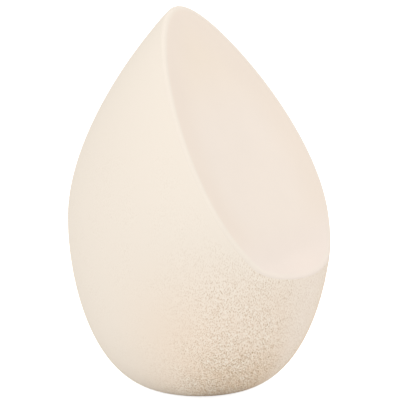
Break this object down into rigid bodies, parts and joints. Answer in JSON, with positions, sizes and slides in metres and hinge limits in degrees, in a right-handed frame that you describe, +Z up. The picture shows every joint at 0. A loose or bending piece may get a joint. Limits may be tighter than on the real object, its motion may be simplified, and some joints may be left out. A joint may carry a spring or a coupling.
{
  "type": "makeup sponge",
  "caption": "Teardrop makeup sponge of soft foam, standing on a flat foot, with a slanted, scooped velvet face for dabbing and blending powder or foundation.",
  "frame": {"origin": "centre of the flat foot, on the surface that the sponge stands on", "axes": "+Z up along the teardrop's axis, +X the way that the slanted face looks, +Y across that face"},
  "size_m": [0.0415, 0.042, 0.0611],
  "materials": {
    "foam": "matte open-cell foam",
    "adhesive": "satin film",
    "velvet": "smooth short nap"
  },
  "bodies": {
    "root": {"foam_body": "foam", "bond_film": "adhesive", "velvet_face": "velvet"}
  },
  "joints": []
}
